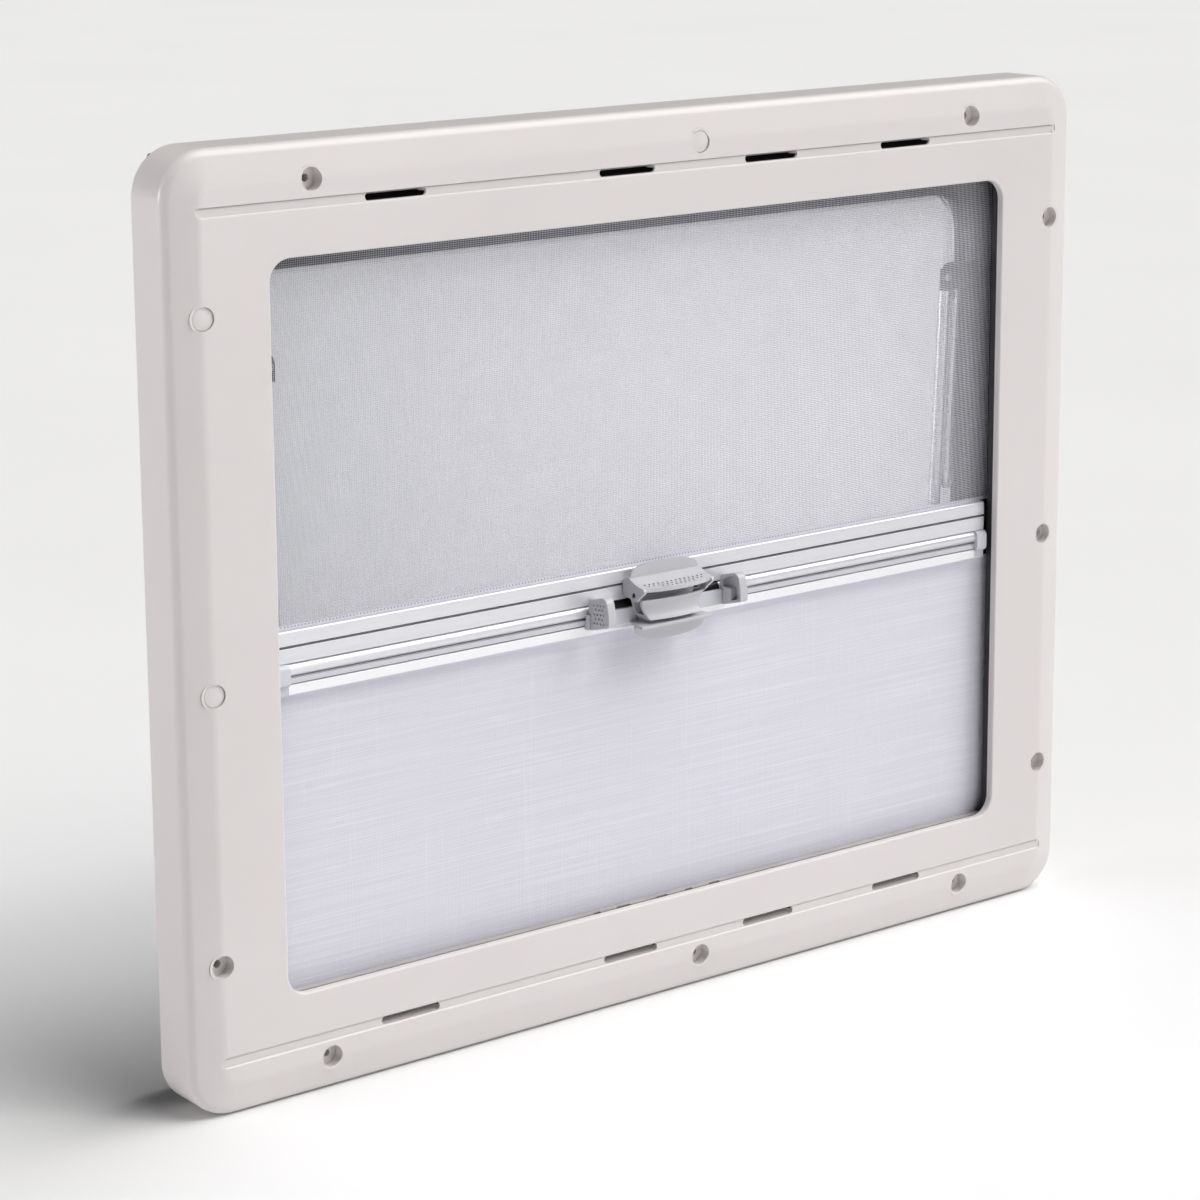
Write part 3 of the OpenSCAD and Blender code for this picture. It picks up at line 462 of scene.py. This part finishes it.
FINISH_OF = {
    "inner_frame": trim,
    "screw_caps": cap_trim,
    "top_cassette": black,
    "bottom_cassette": black,
    "screen_roller": thread,
    "blind_roller": linen,
    "cassette_ends": black,
    "guide_left": black,
    "guide_right": black,
    "screen_end_rail": screen_rail_metal,
    "screen_rail_glides": black,
    "blind_end_rail": blind_rail_metal,
    "blind_rail_caps": pale,
    "catch_base": base_painted_shade,
    "catch_lever": grey,
    "blind_handle": grey,
    "clip_bar": pale,
    "pinch_clip_left": grey,
    "pinch_clip_right": grey,
    "outer_frame": black,
    "sash_seal": seal,
    "hinge_rail": dark_metal,
    "sash_hinge_rail": dark_metal,
    "outer_pane": outer_acrylic,
    "inner_pane": inner_acrylic,
    "stay_bracket_left": dark_grey,
    "stay_bracket_right": dark_grey,
    "stay_bar_left": bar_metal,
    "stay_bar_right": bar_metal,
    "stay_slide_left": bar_metal,
    "stay_slide_right": bar_metal,
    "stay_foot_left": dark_grey,
    "stay_foot_right": dark_grey,
    "sash_latch_left": black,
    "sash_latch_right": black,
    "latch_keepers": black,
}


def coat(obj, material):
    obj.data.materials.clear()
    obj.data.materials.append(material)


def soften(obj, width, segments=2, angle=32):
    """Round the sharp edges, as moulded and drawn parts have them."""
    weld = obj.modifiers.new("weld", "WELD")
    weld.merge_threshold = 0.000002
    if width:
        bevel = obj.modifiers.new("edge", "BEVEL")
        bevel.width = width
        bevel.segments = segments
        bevel.limit_method = "ANGLE"
        bevel.angle_limit = math.radians(angle)
        bevel.use_clamp_overlap = True
    normals = obj.modifiers.new("normals", "WEIGHTED_NORMAL")
    normals.keep_sharp = False


EDGE_OF = {
    "inner_frame": 0.4,
    "screw_caps": 0.5,
    "blind_handle": 0.4,
    "catch_lever": 0.35,
    "catch_base": 0.3,
    "pinch_clip_left": 0.5,
    "pinch_clip_right": 0.5,
    "clip_bar": 0.2,
    "screen_end_rail": 0.25,
    "blind_end_rail": 0.2,
    "blind_rail_caps": 0.5,
    "stay_bracket_left": 0.4,
    "stay_bracket_right": 0.4,
    "guide_left": 0.3,
    "guide_right": 0.3,
    "sash_latch_left": 0.5,
    "sash_latch_right": 0.5,
    "latch_keepers": 0.4,
    "outer_frame": 0.4,
    "stay_foot_left": 0.4,
    "stay_foot_right": 0.4,
    "stay_slide_left": 0.2,
    "stay_slide_right": 0.2,
    "outer_pane": 0.3,
    "hinge_rail": 0.2,
    "sash_hinge_rail": 0.2,
}

for name, material in FINISH_OF.items():
    coat(nodes[name], material)
for name, width in EDGE_OF.items():
    soften(nodes[name], width * MM)


# Mesh helpers


def piece(name, bm, material, body):
    """A mesh object from a bmesh, with its finish, riding on a body."""
    bmesh.ops.recalc_face_normals(bm, faces=bm.faces)
    mesh = bpy.data.meshes.new(name)
    bm.to_mesh(mesh)
    bm.free()
    obj = bpy.data.objects.new(name, mesh)
    scene.collection.objects.link(obj)
    mesh.materials.append(material)
    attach(obj, body)
    return obj


def smooth(obj, angle=35):
    obj.data.shade_smooth()
    obj.data.set_sharp_from_angle(angle=math.radians(angle))


def prism(bm, start, end, radius, sides=6):
    """A thin closed bar between two points."""
    along = (end - start).normalized()
    turn = along.to_track_quat("Z", "Y")
    rings = []
    for point in (start, end):
        ring = []
        for i in range(sides):
            a = math.tau * (i + 0.5) / sides
            ring.append(bm.verts.new(point + turn @ Vector((radius * math.cos(a), radius * math.sin(a), 0))))
        rings.append(ring)
    for i in range(sides):
        j = (i + 1) % sides
        bm.faces.new((rings[0][i], rings[0][j], rings[1][j], rings[1][i]))
    bm.faces.new(rings[0])
    bm.faces.new(rings[1])


def lathe(bm, centre, profile, sides=40):
    """A solid of revolution about a line along Y.

    The profile lists (radius, y) and starts and ends at radius 0.
    """
    first = bm.verts.new((centre[0], profile[0][1], centre[1]))
    last = bm.verts.new((centre[0], profile[-1][1], centre[1]))
    rings = []
    for radius, y in profile[1:-1]:
        ring = []
        for i in range(sides):
            a = math.tau * i / sides
            ring.append(bm.verts.new((centre[0] + radius * math.cos(a), y, centre[1] + radius * math.sin(a))))
        rings.append(ring)
    for i in range(sides):
        j = (i + 1) % sides
        bm.faces.new((first, rings[0][i], rings[0][j]))
        bm.faces.new((last, rings[-1][j], rings[-1][i]))
        for a, b in zip(rings, rings[1:]):
            bm.faces.new((a[i], b[i], b[j], a[j]))


def upright_prism(bm, outline, y0, y1, far=None):
    """A closed prism along Y between two outlines of (x, z) points; without the far one both are the same."""
    first = [bm.verts.new((x, y0, z)) for x, z in outline]
    last = [bm.verts.new((x, y1, z)) for x, z in far or outline]
    bm.faces.new(first)
    bm.faces.new(last)
    for i in range(len(first)):
        j = (i + 1) % len(first)
        bm.faces.new((first[i], first[j], last[j], last[i]))


def box(bm, low, high):
    low, high = Vector(low), Vector(high)
    matrix = Matrix.LocRotScale((low + high) / 2, None, high - low)
    bmesh.ops.create_cube(bm, size=1, matrix=matrix)


def cutter(name, bm, body):
    """A hidden mesh that a Boolean takes away."""
    obj = piece(name, bm, trim, body)
    obj.hide_render = True
    obj.hide_viewport = True
    return obj


def cut(obj, tool):
    boolean = obj.modifiers.new("cut", "BOOLEAN")
    boolean.operation = "DIFFERENCE"
    boolean.solver = "EXACT"
    boolean.object = tool


# Insect screen: single threads both ways, in the place of its solid


def insect_screen():
    low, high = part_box("insect_screen")
    middle = (low.y + high.y) / 2
    warp_y = middle + THREAD_RADIUS
    weft_y = middle - THREAD_RADIUS * 0.6
    bm = bmesh.new()
    count = int((high.x - low.x) / THREAD_PITCH)
    for i in range(count + 1):
        x = low.x + THREAD_RADIUS + (high.x - low.x - 2 * THREAD_RADIUS) * i / count
        prism(bm, Vector((x, warp_y, low.z)), Vector((x, warp_y, high.z)), THREAD_RADIUS)
    count = int((high.z - low.z) / THREAD_PITCH)
    for i in range(count + 1):
        z = low.z + THREAD_RADIUS + (high.z - low.z - 2 * THREAD_RADIUS) * i / count
        prism(bm, Vector((low.x, weft_y, z)), Vector((high.x, weft_y, z)), THREAD_RADIUS)
    made = piece("insect_screen_threads", bm, thread, "window")
    made.data.shade_smooth()
    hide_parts("insect_screen")
    bm = bmesh.new()
    hem_low = (low.x + HEM_INSET, middle - HEM_FRONT, low.z)
    hem_high = (high.x - HEM_INSET, middle + HEM_BACK, low.z + HEM_HEIGHT)
    box(bm, hem_low, hem_high)
    hem_strip = piece("screen_hem", bm, hem, "window")


insect_screen()


# Blind: a thin cloth that is stretched between its roller and its rail, with faint waves


def blind_cloth():
    low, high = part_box("blind_fabric")
    middle = (low.y + high.y) / 2
    across, down = 150, 52
    half = CLOTH_THICKNESS / 2
    bm = bmesh.new()
    grids = []
    for side in (-half, half):
        rows = []
        for j in range(down + 1):
            row = []
            v = j / down
            z = high.z + (low.z - high.z) * v
            for i in range(across + 1):
                u = i / across
                x = low.x + (high.x - low.x) * u
                slack = math.sin(math.pi * v)
                wave = math.sin(u * 17 + 1.2 * math.sin(v * 3)) * 0.1 + math.sin(u * 5.5 + v * 2.1) * 0.12
                row.append(bm.verts.new((x, middle + side + wave * slack * MM, z)))
            rows.append(row)
        grids.append(rows)
    for rows in grids:
        for j in range(down):
            for i in range(across):
                bm.faces.new((rows[j][i], rows[j][i + 1], rows[j + 1][i + 1], rows[j + 1][i]))
    front, back = grids
    rim = [(0, i) for i in range(across + 1)]
    rim += [(j, across) for j in range(1, down + 1)]
    rim += [(down, i) for i in range(across - 1, -1, -1)]
    rim += [(j, 0) for j in range(down - 1, 0, -1)]
    for (ja, ia), (jb, ib) in zip(rim, rim[1:] + rim[:1]):
        bm.faces.new((front[ja][ia], front[jb][ib], back[jb][ib], back[ja][ia]))
    made = piece("blind_cloth", bm, linen, "window")
    smooth(made)
    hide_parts("blind_fabric")


blind_cloth()


# Screws with cross recesses


def cross_screw(name, centre, seat_y, radius, height):
    """A pan-head screw whose head stands on seat_y and faces the room."""
    crown = seat_y - height
    profile = [
        (0, crown),
        (radius * 0.35, crown + height * 0.02),
        (radius * 0.62, crown + height * 0.1),
        (radius * 0.85, crown + height * 0.3),
        (radius * 0.97, crown + height * 0.58),
        (radius, crown + height * 0.8),
        (radius * 0.98, seat_y),
        (radius * 0.5, seat_y),
        (radius * 0.5, seat_y + 1.5 * MM),
        (0, seat_y + 1.5 * MM),
    ]
    bm = bmesh.new()
    lathe(bm, centre, profile)
    head = piece(name, bm, screw_metal, "window")
    smooth(head)
    bm = bmesh.new()
    arm, half, deep = radius * 0.6, radius * 0.14, height * 0.55
    quarter = [(arm, -half), (arm, half), (half, half)]
    outline = []
    for turn in range(4):
        for x, z in quarter:
            for _ in range(turn):
                x, z = -z, x
            outline.append((centre[0] + x, centre[1] + z))
    upright_prism(bm, outline, crown - 1 * MM, crown + deep)
    cut(head, cutter(name + "_recess", bm, "window"))


CUP_FLOOR_Y = -32 * MM
CUP_SCREW_PLACE = (340.5 * MM, -28.5 * MM)
CUP_SCREW_RADIUS, CUP_SCREW_HEIGHT = 4 * MM, 2.6 * MM
cross_screw("cup_screw", CUP_SCREW_PLACE, CUP_FLOOR_Y, CUP_SCREW_RADIUS, CUP_SCREW_HEIGHT)

BRACKET_SCREW_IN = 4 * MM
BRACKET_SCREW_RADIUS, BRACKET_SCREW_HEIGHT = 2.9 * MM, 1.9 * MM
for side, tag in ((-1, "left"), (1, "right")):
    low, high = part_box("stay_bracket_" + tag)
    screw_x = low.x + BRACKET_SCREW_IN if side > 0 else high.x - BRACKET_SCREW_IN
    place = (screw_x, (low.z + high.z) / 2)
    cross_screw("stay_screw_" + tag, place, low.y, BRACKET_SCREW_RADIUS, BRACKET_SCREW_HEIGHT)


# Dimples of the lever's grip and of the clips' outer sides


# Rows on the lever's grip in millimetres: y, z, count, and how far the row bows forward in its middle
LEVER_DIMPLE_ROWS = ((-46.2, -8.75, 14, 0.6), (-48.4, -9.2, 13, 1.3), (-50.4, -9.55, 8, 2.2))
LEVER_DIMPLE_PITCH, LEVER_DIMPLE_SINK, LEVER_DIMPLE_RADIUS = 3.6, 0.25, 0.95 * MM
LEVER_HALF, GRIP_FALL = 27, 0.16

# Rows on a clip's outer side in millimetres: the first dimple's place, the steps, and the fall along a row
CLIP_DIMPLE_FIRST, CLIP_DIMPLE_ACROSS, CLIP_DIMPLE_UP = (5.4, 6.4), 3.4, 3.0
CLIP_DIMPLE_FALL, CLIP_DIMPLE_RADIUS, CLIP_DIMPLE_OUT = 0.35, 0.85 * MM, 0.1 * MM


def dimples(name, points, radius, body, deep):
    """A cutter of small ellipsoids, each stretched along one axis."""
    bm = bmesh.new()
    for point in points:
        matrix = Matrix.Translation(point) @ Matrix.Diagonal((*deep, 1))
        bmesh.ops.create_icosphere(bm, subdivisions=2, radius=radius, matrix=matrix)
    return cutter(name, bm, body)


def lever_dimples():
    """Staggered rows on the front half of the grip's slope, the front one only where the lever bulges."""
    points = []
    for y, z, count, bow in LEVER_DIMPLE_ROWS:
        for i in range(count):
            x = (i - (count - 1) / 2) * LEVER_DIMPLE_PITCH
            forward = bow * (1 - (x / LEVER_HALF) ** 2)
            points.append(Vector((x, y - forward, z - LEVER_DIMPLE_SINK - forward * GRIP_FALL)) * MM)
    cut(nodes["catch_lever"], dimples("lever_dimples", points, LEVER_DIMPLE_RADIUS, "lever", (1, 1, 2)))


def clip_dimples(side, tag):
    """Rows of dimples on a clip's outer side."""
    low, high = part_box("pinch_clip_" + tag)
    outer = low.x if side < 0 else high.x
    first_y, first_z = CLIP_DIMPLE_FIRST
    points = []
    for row in range(5):
        for column in range(4 - row % 2):
            y = low.y + (first_y + CLIP_DIMPLE_ACROSS * (column + (row % 2) / 2)) * MM
            z = low.z + (first_z + CLIP_DIMPLE_UP * row - CLIP_DIMPLE_FALL * column) * MM
            points.append(Vector((outer + side * CLIP_DIMPLE_OUT, y, z)))
    tool = dimples("clip_dimples_" + tag, points, CLIP_DIMPLE_RADIUS, tag + "_clip", (2, 1, 1))
    cut(nodes["pinch_clip_" + tag], tool)


lever_dimples()
clip_dimples(-1, "left")
clip_dimples(1, "right")


# Hollow of the blind's handle: behind its dished shell, open at the top and at both sides


def handle_hollow():
    """A cutter that follows the dished and bowed front at the shell's distance."""
    front, top, bottom = -52 * MM, -18.1 * MM, -31.8 * MM
    dish, bow = 4 * MM, 98.3 * MM
    shell, back, ledge, above = 2.1 * MM, -36 * MM, 2.6 * MM, 3 * MM
    reach, stations = 30 * MM, 12
    half_h = (top - bottom) / 2
    radius = (half_h * half_h + dish * dish) / (2 * dish)
    levels = [top + (bottom + ledge - top) * i / 8 for i in range(9)]
    depths = []
    for z in levels:
        depths.append(shell + dish - radius + (radius ** 2 - (z - (top + bottom) / 2) ** 2) ** 0.5)
    bm = bmesh.new()
    rings = []
    for i in range(2 * stations + 1):
        x = (i / stations - 1) * reach
        ring = [bm.verts.new((x, back, top + above))]
        for z, depth in [(top + above, depths[0])] + list(zip(levels, depths)):
            ring.append(bm.verts.new((x, front + bow - ((bow - depth) ** 2 - x * x) ** 0.5, z)))
        ring.append(bm.verts.new((x, back, levels[-1])))
        rings.append(ring)
    bm.faces.new(rings[0])
    bm.faces.new(rings[-1])
    for a, b in zip(rings, rings[1:]):
        for j in range(len(a)):
            k = (j + 1) % len(a)
            bm.faces.new((a[j], a[k], b[k], b[j]))
    cut(nodes["blind_handle"], cutter("handle_hollow", bm, "window"))


handle_hollow()


# Vent slots: crisp grooves, full-height openings, and a collar behind each


SLOT_X = [-205 * MM, -30 * MM, 88 * MM, 205 * MM]
SLOT_HALF, SLOT_RADIUS, SLOT_MID = 22 * MM, 2.6 * MM, 259.2 * MM
FACE_Y, FACE_BACK_Y = -40 * MM, -37 * MM
GROOVE_HALF_LENGTH = 341 * MM
GROOVE_DEPTH, GROOVE_CREASE, GROOVE_CREASE_DEPTH, GROOVE_CHAMFER = 1.25 * MM, 0.6 * MM, 2.2 * MM, 1.2 * MM
COLLAR_WALL, COLLAR_DEPTH, COLLAR_TAPER = 1.3 * MM, 4.5 * MM, 1.9 * MM


def slot_outline(x, z, radius, first, last, steps):
    """Points round a slot's end or ends, over the turn from first to last in degrees."""
    points = []
    for i in range(steps + 1):
        a = math.radians(first + (last - first) * i / steps)
        reach = SLOT_HALF - SLOT_RADIUS
        middle = x + (reach if math.cos(a) > 0 else -reach)
        points.append((middle + radius * math.cos(a), z + radius * math.sin(a)))
    return points


def vent_slots():
    bm = bmesh.new()
    for upper, lower in ((261.9 * MM, 256.4 * MM), (-256.3 * MM, -261.8 * MM)):
        section = [
            (FACE_Y - 2 * MM, upper),
            (FACE_Y + GROOVE_CREASE_DEPTH, upper),
            (FACE_Y + GROOVE_CREASE_DEPTH, upper - GROOVE_CREASE),
            (FACE_Y + GROOVE_DEPTH, upper - GROOVE_CREASE),
            (FACE_Y + GROOVE_DEPTH, lower),
            (FACE_Y + 0.9 * MM, lower),
            (FACE_Y - 0.3 * MM, lower - GROOVE_CHAMFER),
            (FACE_Y - 2 * MM, lower - GROOVE_CHAMFER),
        ]
        ends = []
        for x in (-GROOVE_HALF_LENGTH, GROOVE_HALF_LENGTH):
            ends.append([bm.verts.new((x, y, z)) for y, z in section])
        bm.faces.new(ends[0])
        bm.faces.new(ends[1])
        for i in range(len(section)):
            j = (i + 1) % len(section)
            bm.faces.new((ends[0][i], ends[0][j], ends[1][j], ends[1][i]))
    cut(nodes["inner_frame"], cutter("groove_lines", bm, "window"))
    bm = bmesh.new()
    for side in (-1, 1):
        for x in SLOT_X:
            outline = slot_outline(x, side * SLOT_MID, SLOT_RADIUS, 0, 351, 39)
            upright_prism(bm, outline, FACE_Y - 2 * MM, FACE_BACK_Y + 1 * MM)
    cut(nodes["inner_frame"], cutter("slot_openings", bm, "window"))
    bm = bmesh.new()
    for side in (-1, 1):
        for x in SLOT_X:
            first, last = (180, 360) if side < 0 else (0, 180)
            outer = slot_outline(x, side * SLOT_MID, SLOT_RADIUS + COLLAR_WALL, first, last, 21)
            inner = slot_outline(x, side * SLOT_MID, SLOT_RADIUS, first, last, 21)
            narrow = slot_outline(x, side * SLOT_MID, SLOT_RADIUS - COLLAR_TAPER, first, last, 21)
            near, far = outer + inner[::-1], outer + narrow[::-1]
            upright_prism(bm, near, FACE_BACK_Y - 0.02 * MM, FACE_BACK_Y + COLLAR_DEPTH, far)
    collars = piece("slot_collars", bm, trim, "window")
    smooth(collars)


vent_slots()


# Felt lip at the mouth of the bottom cassette, in front of the cloth, with short notches; its dark colour is
# painted shade


def cassette_lip():
    front, back = -30.6 * MM, -25.2 * MM
    half, deep, slant = 294 * MM, front + 1.6 * MM, 0.6
    notches = ((-54.1, -48.3), (-35.1, -23.4), (-1.6, 7.8), (22.3, 29.1), (43, 52.5))
    outline = [(-half, back), (-half, front)]
    for start, end in notches:
        outline += [(start * MM, front), ((start + slant) * MM, deep)]
        outline += [((end - slant) * MM, deep), (end * MM, front)]
    outline += [(half, front), (half, back)]
    low, high = -229.55 * MM, -228.7 * MM
    bm = bmesh.new()
    under = [bm.verts.new((x, y, low)) for x, y in outline]
    above = [bm.verts.new((x, y, high)) for x, y in outline]
    bm.faces.new(under)
    bm.faces.new(above)
    for i in range(len(outline)):
        j = (i + 1) % len(outline)
        bm.faces.new((under[i], under[j], above[j], above[i]))
    piece("cassette_lip", bm, felt_painted_shade, "window")


cassette_lip()


# Floor, light and camera


WORLD_LIGHT = 0.05


def floor():
    bpy.ops.mesh.primitive_plane_add(size=60, location=(0, 0, cad_box[0].z - 0.0002))
    ground = bpy.context.object
    ground.name = "studio_floor"
    ground.data.materials.append(floor_finish("pale_floor"))


def soft_sun(name, toward, spread, power, colour=(1, 1, 1)):
    """A wide, even studio light that comes from one side of the object."""
    lamp = bpy.data.lights.new(name, "SUN")
    lamp.angle = math.radians(spread)
    lamp.energy = power
    lamp.color = colour
    obj = bpy.data.objects.new(name, lamp)
    obj.location = Vector(toward) * 3
    obj.rotation_euler = Vector(toward).to_track_quat("Z", "Y").to_euler()
    scene.collection.objects.link(obj)


def soft_box(name, place, size, power):
    """A square lamp that faces the middle of the object from close by."""
    lamp = bpy.data.lights.new(name, "AREA")
    lamp.size = size
    lamp.energy = power
    obj = bpy.data.objects.new(name, lamp)
    obj.location = place
    obj.rotation_euler = Vector(place).to_track_quat("Z", "Y").to_euler()
    obj.visible_camera = False
    scene.collection.objects.link(obj)


def studio():
    world = bpy.data.worlds.new("studio_air")
    world.use_nodes = True
    background = world.node_tree.nodes["Background"]
    background.inputs["Color"].default_value = (0.97, 0.975, 1.0, 1)
    background.inputs["Strength"].default_value = WORLD_LIGHT
    scene.world = world
    soft_sun("key_light", (0.9, -0.6, 1.6), 60, 3.1, (1, 0.99, 0.975))
    soft_sun("edge_light", (0.4, -0.5, 0.8), 9, 0.25)
    soft_sun("left_light", (-0.88, 0.42, 0.05), 20, 1.85, (1, 0.985, 0.98))
    soft_box("front_light", (0.26, -1.3, 0.3), 0.6, 2.35)
    scene.view_settings.view_transform = "Standard"
    scene.view_settings.look = "None"


def camera():
    lens = bpy.data.cameras.new("photo_camera")
    lens.sensor_width = 36
    lens.lens = CAMERA_LENS
    lens.shift_y = CAMERA_SHIFT
    lens.clip_start = 0.05
    lens.clip_end = 200
    obj = bpy.data.objects.new("photo_camera", lens)
    scene.collection.objects.link(obj)
    ahead = Vector((
        math.sin(CAMERA_YAW) * math.cos(CAMERA_PITCH),
        math.cos(CAMERA_YAW) * math.cos(CAMERA_PITCH),
        -math.sin(CAMERA_PITCH),
    ))
    level = Vector((math.cos(CAMERA_YAW), -math.sin(CAMERA_YAW), 0))
    down = ahead.cross(level)
    right = level * math.cos(CAMERA_ROLL) + down * math.sin(CAMERA_ROLL)
    up = -(down * math.cos(CAMERA_ROLL) - level * math.sin(CAMERA_ROLL))
    turn = Matrix((right, up, -ahead)).transposed().to_4x4()
    obj.matrix_world = Matrix.Translation(CAMERA_PLACE) @ turn
    scene.camera = obj


floor()
studio()
camera()
